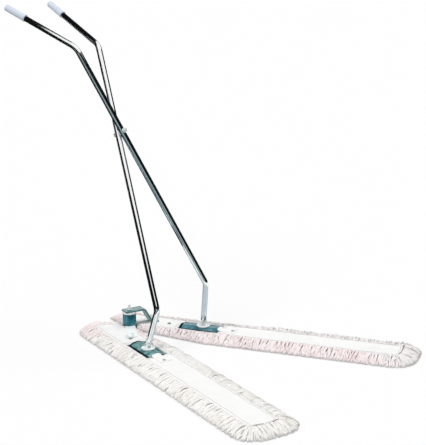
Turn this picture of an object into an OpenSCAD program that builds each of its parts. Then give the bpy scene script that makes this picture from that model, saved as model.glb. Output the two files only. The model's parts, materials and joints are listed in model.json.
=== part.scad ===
// Scissor dust mop: two long fringed mops hinged in a V, pushed by two crossed bent handles.
// Millimetres. +X points to the open side of the V, +Y to the left mop, +Z up, floor at Z = 0.

/* [V] */
// Angle between the two mops as they stand
v_angle = 38; // [30:1:50]
// Smallest angle that the V closes to
v_closed = 20; // [16:1:24]
// Largest angle that the V opens to
v_open = 70; // [60:1:74]

/* [Cover] */
// Length of the canvas cover
cover_l = 1006; // [700:1:1300]
// Width of the canvas cover
cover_w = 105; // [98:1:130]
// Length of cover behind the hinge axis
cover_tail = 60; // [45:1:62]
// From the hinge axis across to the cover's inner edge
hinge_side = 10; // [10:0.5:18]
// Radius of the cover's corners at the open end
corner_r = 14; // [8:1:24]
// Radius of the cover's inner corner beside the hinge
tail_corner_r = 70; // [66:1:71]
// Radius of the cover's outer corner beside the hinge
tail_out_r = 34; // [28:1:40]
// Thickness of the canvas
canvas_t = 1.2; // [0.8:0.1:1.6]
// Inner height of the pocket that holds the frame
pocket_h = 10; // [9.6:0.1:12]
// Free margin of the cover's opening round the saddle plate
opening_margin = 4; // [2:0.5:6]

/* [Yarn] */
// Thickness of the yarn pile under the cover
pile_h = 8; // [6:0.5:12]
// Reach of the fringe beyond the cover
fringe_w = 57; // [40:1:62]
// Height of the fringe's crown above the cover
fringe_lift = 3; // [1:0.5:6]
// Height of the fringe at its outer edge
fringe_edge = 5; // [3:0.5:8]

/* [Frame] */
// Diameter of the frame's steel wire
wire_d = 6; // [5:0.5:7]
// From the cover's edge in to the wire's centre
rail_inset = 20; // [18:0.5:22]
// Radius of the wire's corners at the open end
wire_bend_r = 16; // [12:1:24]
// Thickness of the riveting plate across the rails
cross_t = 2; // [1.5:0.25:2.5]
// Length of the riveting plate along the mop
cross_l = 40; // [36:1:50]

/* [Saddle] */
// From the hinge axis along the mop to the middle of the saddle plate
saddle_at = 242; // [236:1:260]
// Length of the saddle plate along the mop
saddle_l = 144; // [120:1:160]
// Sheet thickness of the saddle plate
saddle_t = 2; // [1.5:0.25:2.5]
// Height of the saddle's crown above the frame wires
saddle_rise = 12; // [11:0.5:14]
// Wall of the hem that grips the wire
hem_t = 1.5; // [1:0.25:1.75]
// From the middle of the saddle plate to each press stud
stud_at = 118; // [110:1:130]
// Diameter of a press stud
stud_d = 13; // [10:0.5:16]
// Height of a press stud
stud_h = 3; // [2:0.5:4]

/* [Foot joint] */
// From the hinge axis along the mop to the swivel axis
foot_at = 252; // [244:1:258]
// Height of the pitch pin above the floor
pin_h = 40; // [40:0.5:46]
// Diameter of the pitch pin
pin_d = 7; // [6:0.5:8]
// Diameter of the round seat under the yoke
seat_d = 36; // [32:1:40]
// Height of the seat above the saddle's crown
seat_h = 1; // [0.75:0.25:1.5]
// Diameter of the yoke's base disc
disc_d = 46; // [42:1:50]
// Thickness of the yoke's base disc
disc_t = 2.5; // [2:0.25:3]
// Thickness of a yoke ear
ear_t = 3; // [2.5:0.25:4]
// Width of a yoke ear at its base
ear_base = 36; // [30:1:40]
// Radius of a yoke ear round the pin
ear_r = 7; // [6.5:0.25:7.25]
// Thickness of the tongue between the ears
tongue_t = 12; // [10:0.5:13]
// Diameter of the king bolt
king_d = 8; // [6:0.5:8]
// Diameter of the king bolt's head
king_head_d = 11; // [10:0.5:12]
// Height of the king bolt's head
king_head_h = 2.5; // [2:0.25:3]
// Across the flats of the small nuts
nut_flats = 13; // [12:0.5:14]
// Across the flats of the pitch pin's nut
pin_nut_flats = 11; // [10.5:0.25:11]
// Height of the small nuts
nut_h = 6.5; // [5:0.5:6.5]
// Length of bolt that stands out of a nut
bolt_proud = 2; // [1:0.5:2.5]

/* [Handles] */
// Outer diameter of the handle tubes
tube_d = 20; // [18:0.5:22]
// Wall of the handle tubes
tube_wall = 1.5; // [1:0.25:2]
// Right handle, from the pin to the corner of the lower bend
leg = 122; // [110:1:140]
// Angle of the lower bend
lower_bend = 39; // [32:0.5:42]
// Radius of the lower bend
lower_bend_r = 35; // [30:1:60]
// Angle of the upper bend
upper_bend = 39; // [30:1:45]
// Radius of the upper bend
upper_bend_r = 60; // [45:1:100]
// Right handle, from the scissor bolt to the corner of the upper bend
upper_run = 325; // [280:1:380]
// From the corner of the upper bend to the end of the grip
top_l = 315; // [280:1:360]
// From the pin to the end of the tube
tube_start = 12.4; // [12.4:0.1:16]
// Height of the scissor bolt above the floor
pivot_h = 700; // [660:5:760]
// From the hinge axis back to the scissor bolt
pivot_back = 21; // [0:1:40]
// Length of the plug inside the tube
plug_l = 34; // [28:1:45]
// Thickness of the collar under the tube
collar_t = 3; // [2.9:0.05:3]
// Diameter of the rivet through tube and plug
foot_rivet_d = 5; // [4:0.5:6]
// From the end of the tube to that rivet
foot_rivet_at = 14; // [10:0.5:18]
// Length of the grip
grip_l = 88; // [70:1:120]
// Outer diameter of the grip
grip_d = 23.4; // [23:0.2:26]
// Thickness of the grip's closed end
grip_end_t = 4; // [3:0.5:6]

/* [Scissor bolt] */
// Diameter of the scissor bolt
pivot_d = 8; // [6:0.5:8]
// Free gap between the crossing tubes
pivot_gap = 3; // [2.8:0.1:4]
// Radial play of the bolt in the right tube
pivot_play = 1.7; // [1.6:0.1:2]
// Axial play behind the right tube
pivot_slack = 1.3; // [1.2:0.1:2]
// Diameter of the washers on the tubes
washer_d = 17; // [15:0.5:18]
// Thickness of the washers on the tubes
washer_t = 1.5; // [1:0.25:1.6]
// Height of the scissor bolt's domed head
pivot_head_h = 5; // [4:0.5:6]

/* [Vertex hinge] */
// Diameter of the hinge post
post_d = 46; // [40:1:46]
// Height of the hinge post
post_h = 52; // [46:0.5:60]
// Depth of the hinge post below the cover's top
post_drop = 7; // [5:0.5:7.5]
// Radius of the post's rounded edges
post_edge_r = 3; // [1:0.5:5]
// Diameter of the nylon bearing disc on the post
bearing_d = 48; // [42:1:50]
// Thickness of the nylon bearing disc on the post
bearing_t = 5.5; // [4:0.5:8]
// Width of the hinge strap
strap_w = 38; // [32:1:42]
// Thickness of the hinge strap
strap_t = 6; // [4:0.25:6.5]
// Turn of the strap from the left mop's length
strap_turn = 50; // [44:1:52]
// From the strap's end to the hinge axis
strap_end = 20; // [18:0.5:24]
// From the hinge axis to the strap's upper corner
strap_flat = 52; // [46:1:56]
// Level distance over which the strap comes down
strap_drop_l = 28; // [24:1:32]
// Length of the strap's foot past its lower corner
strap_foot = 24; // [22:1:26]
// Bend radius of the strap at mid thickness
strap_bend_r = 10; // [8:0.5:12]
// Thickness of the right hinge arm
arm_t = 3.5; // [3:0.25:5]
// Width of the right hinge arm
arm_w = 34; // [28:1:36]
// From the hinge axis to the middle of the arm's foot
arm_l = 112; // [106:1:118]
// Turn of the arm from the right mop's length
arm_turn = 22; // [20:1:26]
// Diameter of the hinge bolt
hinge_d = 8; // [7:0.5:10]
// Diameter of the hinge bolt's round head
hinge_head_d = 18; // [16:0.5:18]
// Height of the hinge bolt's round head
hinge_head_h = 4; // [3:0.5:5]
// Across the flats of the hinge nut
hinge_nut_flats = 13; // [12:0.5:16]
// Height of the hinge nut
hinge_nut_h = 6.5; // [5:0.5:8]
// Thickness of the washer under the hinge nut
hinge_washer_t = 1.5; // [1:0.25:2]
// Length of hinge bolt that stands out of its nut
hinge_proud = 10; // [4:0.5:12]
// Diameter of the rivets in arm and strap
rivet_d = 6; // [5:0.5:6.5]
// Height of a rivet head
rivet_head_h = 2.5; // [2:0.25:3]
// Half the distance between a pair of rivets
rivet_half = 10; // [8.5:0.5:10.5]

/* [Clearances] */
// Radial clearance of a running fit
fit = 0.05; // [0.03:0.01:0.08]
// Clearance between soft pieces and their neighbours
soft_gap = 0.3; // [0.2:0.05:0.5]
// Axial clearance between faces that turn on each other
slip = 0.1; // [0.05:0.05:0.15]
// Depth by which a tube or strap is drawn thinner in its bends
bend_draw = 0.02; // [0.02:0.01:0.05]

/* [Hidden] */
$fn = 64;

// Colours
steel = "#c9ccd0";
zinc = "#d9dcdc";
petrol = "#2f5660";
canvas_white = "#f4f3ee";
yarn_white = "#efe3d8";
grip_white = "#eef2f5";
nylon = "#f2f2ee";
rubber = "#2b2b2d";

// Levels, from the floor up
half = v_angle / 2;
cover_z = pile_h;
cover_top = pile_h + 2 * canvas_t + pocket_h;
hem_r = wire_d / 2 + hem_t;
wire_z = cover_z + canvas_t + soft_gap + hem_r;
crown_z = wire_z + saddle_rise;
seat_top = crown_z + seat_h;
disc_z = seat_top + slip;
disc_top = disc_z + disc_t;

// Outline of a cover: lengthways u from the hinge axis, crosswise v from the axis outwards
u_tail = -cover_tail;
u_open = cover_l - cover_tail;
v_in = hinge_side;
v_out = hinge_side + cover_w;
v_mid = hinge_side + cover_w / 2;
rail_half = cover_w / 2 - rail_inset;
// Corner centres in turn, each with its radius and the angle where its quarter begins
function corner_list(inset, tail_in, open, tail_out) = [
    [u_tail + inset + tail_in, v_in + inset + tail_in, tail_in, 180],
    [u_open - inset - open, v_in + inset + open, open, 270],
    [u_open - inset - open, v_out - inset - open, open, 0],
    [u_tail + inset + tail_out, v_out - inset - tail_out, tail_out, 90]
];
corners = corner_list(0, tail_corner_r, corner_r, tail_out_r);
wire_corners = corner_list(rail_inset, tail_corner_r - rail_inset, wire_bend_r, tail_out_r - rail_inset);

// Saddle arch
saddle_or = (rail_half * rail_half + saddle_rise * saddle_rise) / (2 * saddle_rise);
saddle_ir = saddle_or - saddle_t;
saddle_axis_z = crown_z - saddle_or;

// Handle geometry of the left handle; the right one is its mirror image with a shorter leg
side_step = tube_d / 2 + pivot_gap / 2;
leg_left = leg + 2 * side_step / sin(lower_bend);
pin_point = [
    foot_at * cos(half) - v_mid * sin(half),
    foot_at * sin(half) + v_mid * cos(half),
    pin_h
];
pivot_point = [-pivot_back, 0, pivot_h];
to_pivot = pivot_point - pin_point;
step_off = leg * sin(lower_bend) + side_step;
run_all = sqrt(to_pivot * to_pivot - step_off * step_off);
run_level = sqrt(run_all * run_all - pin_point.y * pin_point.y);
lean = atan2(-to_pivot.x, to_pivot.z) + atan2(step_off, run_level);
// Bolt axis, and the left handle's middle, leg and top directions
bolt_dir = [cos(lean), 0, sin(lean)];
run_dir = [-sin(lean) * run_level, -pin_point.y, cos(lean) * run_level] / run_all;
leg_dir = cos(lower_bend) * run_dir + sin(lower_bend) * bolt_dir;
top_dir = cos(upper_bend) * run_dir - sin(upper_bend) * bolt_dir;
leg_side = cos(lower_bend) * bolt_dir - sin(lower_bend) * run_dir;
heading = atan2(to_pivot.y, to_pivot.x);
// The tongue leans in the plane square to the pin
tongue_tilt = atan2(leg_dir.x * cos(heading) + leg_dir.y * sin(heading), leg_dir.z);
lower_cut = lower_bend_r * tan(lower_bend / 2);
upper_cut = upper_bend_r * tan(upper_bend / 2);

// Both tubes have one length, so the longer leg shortens the left handle's upper run
function leg_of(side) = side > 0 ? leg_left : leg;
function lower_run(side) = run_all - leg_of(side) * cos(lower_bend);
function upper_run_of(side) = upper_run + leg + lower_run(-1) - leg_of(side) - lower_run(side);
function bend_point(side) = pivot_point + side * side_step * bolt_dir + upper_run_of(side) * run_dir;

// Vertex hinge levels
post_z = cover_top - post_drop;
post_top = post_z + post_h;
// The covers stay this far from the hinge axis
post_clear_r = post_d / 2 + 1.5;
bearing_top = post_top + bearing_t;
strap_z = bearing_top + slip;
strap_top = strap_z + strap_t;
washer_top = strap_top + slip + hinge_washer_t;
hinge_nut_top = washer_top + hinge_nut_h;
strap_fall = strap_z - cover_top;
strap_slope = atan2(strap_fall, strap_drop_l);
strap_cut = strap_bend_r * tan(strap_slope / 2);
strap_foot_mid = strap_flat + strap_drop_l + strap_foot / 2;
cross_top = cover_top - canvas_t - slip;

// The origin stands on the floor in the middle of the outline
reach_r = corner_r + fringe_w;
x_max = (u_open - corner_r) * cos(half) - (v_in + corner_r) * sin(half) + reach_r;
grip_end = bend_point(-1) + top_l * top_dir;
x_min = grip_end.x - grip_d / 2 * sqrt(1 - top_dir.x * top_dir.x);
centre_x = (x_min + x_max) / 2;

// Places

module at_hinge() {
    translate([-centre_x, 0, 0])
        children();
}

// Right side is -1 and left side is +1; children are drawn for the left side
module sided(side) {
    at_hinge()
        if (side < 0)
            mirror([0, 1, 0])
                children();
        else
            children();
}

// Along a mop: x lengthways from the hinge axis, y outwards across it
module on_mop(side) {
    sided(side)
        rotate([0, 0, half])
            children();
}

// At a foot's pin: x towards the scissor bolt, y along the pin
module on_pin(side) {
    sided(side)
        translate(pin_point)
            rotate([0, 0, heading])
                children();
}

// Local axes from an origin, an x direction and a z direction square to it
module axes(origin, x, z) {
    y = cross(z, x);
    multmatrix([
        [x.x, y.x, z.x, origin.x],
        [x.y, y.y, z.y, origin.y],
        [x.z, y.z, z.z, origin.z],
        [0, 0, 0, 1]
    ])
        children();
}

// Up a handle's leg from the pin, with x forwards in the plane of the bends
module on_leg(side) {
    sided(side)
        axes(pin_point, leg_side, leg_dir)
            children();
}

// Along the scissor bolt, z towards the left handle
module on_pivot() {
    at_hinge()
        axes(pivot_point, [0, 1, 0], bolt_dir)
            children();
}

// Shapes that repeat

// A bar that runs straight and bends in the xz plane in turn; the first child is the profile of
// its straight runs and the second that of its bends, into which the runs lap
module bent_bar(lengths, bends, radii, i = 0) {
    lap = 0.5;
    from = i > 0 ? -lap : 0;
    to = lengths[i] + (i < len(bends) ? lap : 0);
    translate([0, 0, from])
        linear_extrude(to - from)
            children(0);
    if (i < len(bends))
        translate([0, 0, lengths[i]])
            rotate([0, 0, bends[i] > 0 ? 0 : 180]) {
                turn = abs(bends[i]);
                translate([radii[i], 0, 0])
                    rotate([90, 0, 180])
                        rotate_extrude(angle = turn)
                            translate([radii[i], 0])
                                children(1);
                translate([radii[i] * (1 - cos(turn)), 0, radii[i] * sin(turn)])
                    rotate([0, turn, 0])
                        rotate([0, 0, bends[i] > 0 ? 0 : 180])
                            bent_bar(lengths, bends, radii, i + 1) {
                                children(0);
                                children(1);
                            }
            }
}

// Outline of the cover, grown or shrunk evenly
module outline(grow) {
    polygon([
        for (c = corners, a = [c[3], c[3] + 90])
            [c.x + (c.z + grow) * cos(a), c.y + (c.z + grow) * sin(a)]
    ]);
    for (c = corners)
        translate([c.x, c.y])
            rotate(c[3])
                intersection() {
                    circle(c.z + grow);
                    square(c.z + grow);
                }
}

// The child profile led round four corners: its x is outwards from their outline, its y is up
module round_the_edge(list) {
    for (i = [0:3]) {
        c = list[i];
        next = list[(i + 1) % 4];
        a = c[3] + 90;
        start = [c.x + c.z * cos(a), c.y + c.z * sin(a)];
        end = [next.x + next.z * cos(a), next.y + next.z * sin(a)];
        translate([c.x, c.y, 0])
            rotate([0, 0, c[3]])
                rotate_extrude(angle = 90)
                    translate([c.z, 0])
                        children();
        translate([end.x, end.y, 0])
            rotate([0, 0, a])
                rotate([90, 0, 0])
                    linear_extrude(norm(end - start))
                        children();
    }
}

module hex(flats, h) {
    cylinder(d = flats / cos(30), h = h, $fn = 6);
}

module drilled_hex(flats, h, bore) {
    difference() {
        hex(flats, h);
        translate([0, 0, -1])
            cylinder(d = bore, h = h + 2);
    }
}

// Round head with a domed top, its flat face at z = 0
module dome(d, h) {
    ball_r = (d * d / 4 + h * h) / (2 * h);
    intersection() {
        translate([0, 0, h - ball_r])
            sphere(ball_r);
        cylinder(d = d, h = h);
    }
}

// Rivet through a stack from z = 0 up to h, headed at both ends
module rivet(d, h, head_h) {
    cylinder(d = d, h = h);
    translate([0, 0, h])
        dome(1.9 * d, head_h);
    mirror([0, 0, 1])
        cylinder(d = 1.6 * d, h = head_h * 0.8);
}

// Sub-parts of a mop

// Height of the fringe's surface at a share of its reach
function fringe_z(share) =
    cover_top + (fringe_edge - cover_top) * pow(share, 2.2) + fringe_lift * sin(180 * sqrt(share));

// Piece of floor that a mop keeps over the whole travel of the V
module own_wedge() {
    far = 2 * cover_l;
    polygon([
        [far, soft_gap - far * tan(v_closed / 2)],
        [far, far],
        [-far, far],
        [-far, soft_gap + far * tan(v_open / 2)],
        [0, soft_gap]
    ]);
}

// The arm crosses to the other mop's piece of floor within this radius
arm_sweep_r = arm_w / 2 / sin(arm_turn + v_closed / 2) + 1;

module yarn(side) {
    lap = 4;
    steps = 12;
    color(yarn_white)
        on_mop(side)
            difference() {
                intersection() {
                    union() {
                        linear_extrude(pile_h)
                            outline(0);
                        round_the_edge(corners)
                            polygon(concat(
                                [[-lap, 0], [fringe_w, 0]],
                                [for (i = [steps:-1:0])
                                    [soft_gap + (fringe_w - soft_gap) * i / steps, fringe_z(i / steps)]],
                                [[soft_gap, pile_h], [-lap, pile_h]]
                            ));
                    }
                    linear_extrude(2 * cover_top)
                        own_wedge();
                }
                translate([0, 0, -1])
                    cylinder(r = post_clear_r + 0.5, h = 2 * cover_top);
                translate([0, 0, cover_top - soft_gap]) {
                    cylinder(r = arm_sweep_r, h = cover_top);
                    if (side < 0)
                        linear_extrude(cover_top)
                            arm_outline(1);
                }
            }
}

// Pairs of rivet places on a mop: in line with the arm on the right, across the strap on the left
function rivet_places(side) =
    let (
        turn = side < 0 ? arm_turn : strap_turn,
        reach = side < 0 ? arm_l : strap_foot_mid,
        along = [cos(turn), sin(turn)],
        step = side < 0 ? along : [-along.y, along.x]
    )
    [for (k = [-1, 1]) reach * along + k * rivet_half * step];

module cover(side) {
    color(canvas_white)
        on_mop(side)
            difference() {
                translate([0, 0, cover_z])
                    linear_extrude(cover_top - cover_z)
                        outline(0);
                translate([0, 0, cover_z + canvas_t])
                    linear_extrude(pocket_h)
                        outline(-canvas_t);
                translate([
                    saddle_at - saddle_l / 2 - opening_margin,
                    v_mid - rail_half - hem_r - opening_margin,
                    cover_z + canvas_t + pocket_h / 2
                ])
                    cube([
                        saddle_l + 2 * opening_margin,
                        2 * (rail_half + hem_r + opening_margin),
                        pocket_h
                    ]);
                for (p = rivet_places(side))
                    translate([p.x, p.y, cover_z + canvas_t + pocket_h / 2])
                        cylinder(d = rivet_d + 2 * fit, h = pocket_h);
                cylinder(r = post_clear_r, h = 2 * cover_top);
            }
}

module frame(side) {
    color(steel)
        on_mop(side)
            round_the_edge(wire_corners)
                translate([0, wire_z])
                    circle(d = wire_d);
}

module cross_plate(side) {
    places = rivet_places(side);
    middle = (places[0] + places[1]) / 2;
    plate_w = 2 * rail_half + wire_d;
    plate_z = wire_z + wire_d / 2;
    color(zinc)
        on_mop(side)
            difference() {
                translate([middle.x - cross_l / 2, v_mid - plate_w / 2, plate_z])
                    cube([cross_l, plate_w, cross_t]);
                for (p = places)
                    translate([p.x, p.y, plate_z - 1])
                        cylinder(d = rivet_d + 2 * fit, h = cross_t + 2);
            }
}

module saddle(side) {
    start = saddle_at - saddle_l / 2;
    color(petrol)
        on_mop(side)
            difference() {
                union() {
                    intersection() {
                        translate([start, v_mid, saddle_axis_z])
                            rotate([0, 90, 0])
                                difference() {
                                    cylinder(r = saddle_or, h = saddle_l, $fn = 128);
                                    translate([0, 0, -1])
                                        cylinder(r = saddle_ir, h = saddle_l + 2, $fn = 128);
                                }
                        translate([start, v_mid - rail_half, wire_z])
                            cube([saddle_l, 2 * rail_half, saddle_or]);
                    }
                    for (k = [-1, 1])
                        translate([start, v_mid + k * rail_half, wire_z])
                            rotate([0, 90, 0])
                                cylinder(r = hem_r, h = saddle_l);
                }
                for (k = [-1, 1])
                    translate([start - 1, v_mid + k * rail_half, wire_z])
                        rotate([0, 90, 0])
                            cylinder(d = wire_d + 2 * fit, h = saddle_l + 2);
                translate([foot_at, v_mid, wire_z])
                    cylinder(d = king_d + 2 * fit, h = saddle_or);
            }
}

// Turned seat whose underside follows the saddle's crown
module seat(side) {
    color(zinc)
        on_mop(side)
            difference() {
                translate([foot_at, v_mid, wire_z])
                    cylinder(d = seat_d, h = seat_top - wire_z);
                translate([foot_at - seat_d, v_mid, saddle_axis_z])
                    rotate([0, 90, 0])
                        cylinder(r = saddle_or + fit, h = 2 * seat_d, $fn = 128);
                translate([foot_at, v_mid, wire_z])
                    cylinder(d = king_d + 2 * fit, h = saddle_or);
            }
}

// The nut's corners touch the hollow side of the arch
nut_corner = nut_flats / 2 / cos(30);
king_nut_top = saddle_axis_z + sqrt(saddle_ir * saddle_ir - nut_corner * nut_corner) - fit;

module king_bolt(side) {
    low = king_nut_top - nut_h - bolt_proud;
    color(zinc)
        on_mop(side)
            translate([foot_at, v_mid, 0]) {
                translate([0, 0, low])
                    cylinder(d = king_d, h = disc_top + slip - low);
                translate([0, 0, disc_top + slip])
                    dome(king_head_d, king_head_h);
            }
}

module king_nut(side) {
    color(zinc)
        on_mop(side)
            translate([foot_at, v_mid, king_nut_top - nut_h])
                drilled_hex(nut_flats, nut_h, king_d + 2 * fit);
}

module studs(side) {
    color(steel)
        on_mop(side)
            for (k = [-1, 1])
                translate([saddle_at + k * stud_at, v_mid, cover_top])
                    dome(stud_d, stud_h);
}

// Sub-parts of the vertex hinge

module arm_outline(grow) {
    rotate([0, 0, arm_turn]) {
        translate([0, -arm_w / 2 - grow])
            square([arm_l, arm_w + 2 * grow]);
        translate([arm_l, 0])
            circle(d = arm_w + 2 * grow);
    }
}

module hinge_arm() {
    color(zinc)
        on_mop(-1)
            translate([0, 0, cover_top])
                difference() {
                    linear_extrude(arm_t)
                        arm_outline(0);
                    translate([0, 0, -1])
                        cylinder(d = post_d + 2 * fit, h = arm_t + 2);
                    for (p = rivet_places(-1))
                        translate([p.x, p.y, -1])
                            cylinder(d = rivet_d + 2 * fit, h = arm_t + 2);
                }
}

module hinge_rivets(side, plate_t) {
    low = wire_z + wire_d / 2;
    color(zinc)
        on_mop(side)
            for (p = rivet_places(side))
                translate([p.x, p.y, low])
                    rivet(rivet_d, cover_top + plate_t - low, rivet_head_h);
}

// Post with rounded edges; the arm ends at its side
module hinge_post() {
    r = post_d / 2;
    e = post_edge_r;
    color(petrol)
        at_hinge()
            translate([0, 0, post_z])
                difference() {
                    rotate_extrude() {
                        translate([0, e])
                            square([r, post_h - 2 * e]);
                        square([r - e, post_h]);
                        for (z = [e, post_h - e])
                            intersection() {
                                translate([r - e, z])
                                    circle(e);
                                square([r, post_h]);
                            }
                    }
                    translate([0, 0, -1])
                        cylinder(d = hinge_d + 2 * fit, h = post_h + 2);
                }
}

module hinge_bearing() {
    color(nylon)
        at_hinge()
            translate([0, 0, post_top])
                difference() {
                    cylinder(d = bearing_d, h = bearing_t);
                    translate([0, 0, -1])
                        cylinder(d = hinge_d + 2 * fit, h = bearing_t + 2);
                }
}

module hinge_bolt() {
    color(zinc)
        at_hinge() {
            translate([0, 0, post_z])
                cylinder(d = hinge_d, h = hinge_nut_top + hinge_proud - post_z);
            translate([0, 0, post_z])
                mirror([0, 0, 1])
                    dome(hinge_head_d, hinge_head_h);
        }
}

module hinge_washer() {
    color(zinc)
        at_hinge()
            translate([0, 0, strap_top + slip])
                difference() {
                    cylinder(d = hinge_nut_flats + 7, h = hinge_washer_t);
                    translate([0, 0, -1])
                        cylinder(d = hinge_d + 2 * fit, h = hinge_washer_t + 2);
                }
}

module hinge_nut() {
    color(zinc)
        at_hinge()
            translate([0, 0, washer_top])
                drilled_hex(hinge_nut_flats, hinge_nut_h, hinge_d + 2 * fit);
}

// Gooseneck strap from the hinge axis down to the left mop
module hinge_strap() {
    slope_l = norm([strap_drop_l, strap_fall]);
    color(petrol)
        on_mop(1)
            difference() {
                rotate([0, 0, strap_turn])
                    translate([-strap_end, 0, strap_z + strap_t / 2])
                        rotate([0, 90, 0])
                            bent_bar(
                                [
                                    strap_end + strap_flat - strap_cut,
                                    slope_l - 2 * strap_cut,
                                    strap_foot - strap_cut
                                ],
                                [strap_slope, -strap_slope],
                                [strap_bend_r, strap_bend_r]
                            ) {
                                square([strap_t, strap_w], center = true);
                                square([strap_t, strap_w] - 2 * [bend_draw, bend_draw], center = true);
                            }
                translate([0, 0, strap_z - 1])
                    cylinder(d = hinge_d + 2 * fit, h = strap_t + 2);
                for (p = rivet_places(1))
                    translate([p.x, p.y, cover_top - 1])
                        cylinder(d = rivet_d + 2 * fit, h = strap_t + 2);
            }
}

// Sub-parts of a foot joint

// Ear outline: a round head at the pin, with sides that run out to the base
module ear_outline() {
    drop = pin_h - disc_top;
    corner = [ear_base / 2, -drop];
    a = atan2(corner.y, corner.x) + acos(ear_r / norm(corner));
    touch = ear_r * [cos(a), sin(a)];
    difference() {
        union() {
            circle(ear_r);
            polygon([[-corner.x, corner.y], corner, touch, [-touch.x, touch.y]]);
        }
        circle(d = pin_d + 2 * fit);
    }
}

ear_in = tongue_t / 2 + soft_gap;
ear_out = ear_in + ear_t;

module yoke(side) {
    color(zinc)
        on_pin(side) {
            translate([0, 0, disc_z - pin_h])
                difference() {
                    cylinder(d = disc_d, h = disc_t);
                    translate([0, 0, -1])
                        cylinder(d = king_d + 2 * fit, h = disc_t + 2);
                }
            for (k = [0, 1])
                mirror([0, k, 0])
                    translate([0, ear_out, 0])
                        rotate([90, 0, 0])
                            linear_extrude(ear_t)
                                ear_outline();
        }
}

module pin(side) {
    color(zinc)
        on_pin(side)
            rotate([90, 0, 0]) {
                translate([0, 0, -ear_out - nut_h - bolt_proud])
                    cylinder(d = pin_d, h = 2 * ear_out + nut_h + bolt_proud);
                translate([0, 0, ear_out])
                    dome(1.8 * pin_d, 0.55 * pin_d);
            }
}

module pin_nut(side) {
    color(zinc)
        on_pin(side)
            translate([0, ear_out, 0])
                rotate([-90, 0, 0])
                    drilled_hex(pin_nut_flats, nut_h, pin_d + 2 * fit);
}

// Sub-parts of a handle

// The tube's path as a solid bar, lengthened at both ends
module tube_bar(side, d, extra) {
    on_leg(side)
        translate([0, 0, tube_start - extra])
            bent_bar(
                [
                    leg_of(side) - tube_start - lower_cut + extra,
                    lower_run(side) + upper_run_of(side) - lower_cut - upper_cut,
                    top_l - upper_cut - grip_end_t + extra
                ],
                [-lower_bend, -upper_bend],
                [lower_bend_r, upper_bend_r]
            ) {
                circle(d = d);
                circle(d = d - 2 * bend_draw);
            }
}

module tube(side) {
    color(steel)
        difference() {
            tube_bar(side, tube_d, 0);
            tube_bar(side, tube_d - 2 * tube_wall, 1);
            on_leg(side)
                translate([0, 0, tube_start + foot_rivet_at])
                    rotate([90, 0, 0])
                        cylinder(d = foot_rivet_d + 2 * fit, h = 2 * tube_d, center = true);
            on_pivot()
                translate([0, 0, side > 0 ? 0 : -2 * side_step])
                    cylinder(d = pivot_d + 2 * (side > 0 ? fit : pivot_play), h = 2 * side_step);
        }
}

// Plug and collar follow the tube, the tongue follows the pin
module foot(side) {
    plug_d = tube_d - 2 * tube_wall - 2 * fit;
    collar_z = tube_start - collar_t;
    color(zinc)
        difference() {
            union() {
                on_leg(side) {
                    translate([0, 0, collar_z])
                        cylinder(d = tube_d, h = collar_t);
                    translate([0, 0, tube_start])
                        cylinder(d = plug_d, h = plug_l);
                }
                on_pin(side)
                    rotate([90, 0, 0])
                        linear_extrude(tongue_t, center = true)
                            rotate([0, 0, -tongue_tilt]) {
                                circle(ear_r);
                                translate([-ear_r, 0])
                                    square([2 * ear_r, collar_z + 0.6 * collar_t]);
                            }
            }
            on_pin(side)
                rotate([90, 0, 0])
                    cylinder(d = pin_d + 2 * fit, h = 2 * tongue_t, center = true);
            on_leg(side)
                translate([0, 0, tube_start + foot_rivet_at])
                    rotate([90, 0, 0])
                        cylinder(d = foot_rivet_d + 2 * fit, h = 2 * tube_d, center = true);
        }
}

module foot_rivet(side) {
    color(zinc)
        on_leg(side)
            translate([0, 0, tube_start + foot_rivet_at])
                rotate([90, 0, 0]) {
                    cylinder(d = foot_rivet_d, h = tube_d, center = true);
                    for (k = [0, 1])
                        mirror([0, 0, k])
                            translate([0, 0, tube_d / 2])
                                dome(1.7 * foot_rivet_d, 0.4 * foot_rivet_d);
                }
}

// Closed sleeve with a rounded end and a thicker rim
module grip(side) {
    r = grip_d / 2;
    bore_r = tube_d / 2 + fit;
    end_r = grip_end_t;
    rim_l = 5;
    rim_t = 0.8;
    color(grip_white)
        sided(side)
            axes(
                bend_point(side) + (top_l - grip_l) * top_dir,
                sin(upper_bend) * run_dir + cos(upper_bend) * bolt_dir,
                top_dir
            )
                difference() {
                    rotate_extrude() {
                        square([r, grip_l - end_r]);
                        square([r - end_r, grip_l]);
                        intersection() {
                            translate([r - end_r, grip_l - end_r])
                                circle(end_r);
                            square([r, grip_l]);
                        }
                        square([r + rim_t, rim_l]);
                    }
                    translate([0, 0, -1])
                        cylinder(r = bore_r, h = grip_l - grip_end_t + 1);
                }
}

// Scissor bolt: the left tube turns on it, the right tube has play round it

module pivot_bolt() {
    head_z = -side_step - tube_d / 2 - washer_t - pivot_slack;
    end_z = side_step + tube_d / 2 + washer_t + nut_h + bolt_proud;
    color(zinc)
        on_pivot() {
            translate([0, 0, head_z])
                cylinder(d = pivot_d, h = end_z - head_z);
            translate([0, 0, head_z])
                mirror([0, 0, 1])
                    dome(washer_d, pivot_head_h);
        }
}

module washer(z, bore, t) {
    on_pivot()
        translate([0, 0, z])
            difference() {
                cylinder(d = washer_d, h = t);
                translate([0, 0, -1])
                    cylinder(d = bore, h = t + 2);
            }
}

module pivot_washer() {
    color(zinc)
        washer(side_step + tube_d / 2, pivot_d + 2 * fit, washer_t);
}

module pivot_spacer() {
    color(nylon)
        washer(side_step - tube_d / 2 - washer_t, pivot_d + 2 * fit, washer_t);
}

module pivot_cushion() {
    color(rubber)
        washer(-side_step - tube_d / 2 - washer_t, pivot_d + 2 * pivot_play, washer_t);
}

module pivot_nut() {
    color(zinc)
        on_pivot()
            translate([0, 0, side_step + tube_d / 2 + washer_t])
                drilled_hex(nut_flats, nut_h, pivot_d + 2 * fit);
}

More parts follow.
